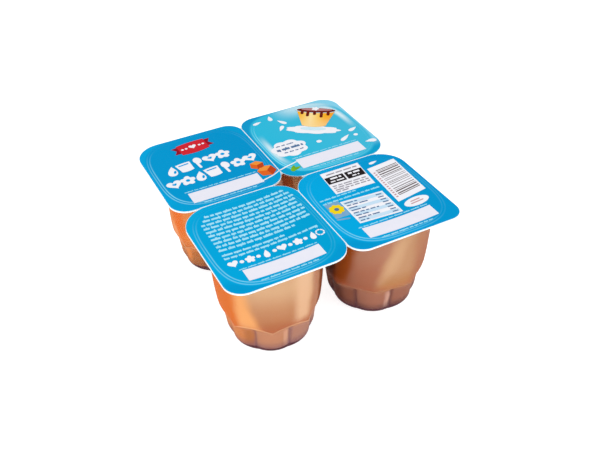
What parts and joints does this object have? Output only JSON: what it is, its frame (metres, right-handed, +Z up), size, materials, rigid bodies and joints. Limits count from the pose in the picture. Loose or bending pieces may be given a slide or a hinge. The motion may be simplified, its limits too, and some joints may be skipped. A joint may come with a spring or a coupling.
{
  "type": "sealed pack of creme caramel dessert cups",
  "caption": "Sealed pack of clear fluted dessert cups joined in one tray, holding custard over caramel, each cup under its own printed foil lid.",
  "frame": {"origin": "on the floor, under the middle of the pack, where the two scored lines cross", "axes": "+X along the lids' short side, +Y along their long side, towards the top of the print, +Z up"},
  "size_m": [0.128, 0.14, 0.0652],
  "materials": {
    "clear_plastic": "clear thermoformed plastic sheet, glossy, white at its cut edge",
    "printed_foil": "satin printed aluminium foil, blue with white print",
    "custard": "smooth set custard, slightly moist",
    "caramel": "dark glossy caramel syrup"
  },
  "bodies": {
    "root": {"cup_tray": "clear_plastic", "lid_front": "printed_foil", "lid_right": "printed_foil", "lid_left": "printed_foil", "lid_back": "printed_foil", "custard_front": "custard", "custard_right": "custard", "custard_left": "custard", "custard_back": "custard", "caramel_front": "caramel", "caramel_right": "caramel", "caramel_left": "caramel", "caramel_back": "caramel"}
  },
  "joints": []
}
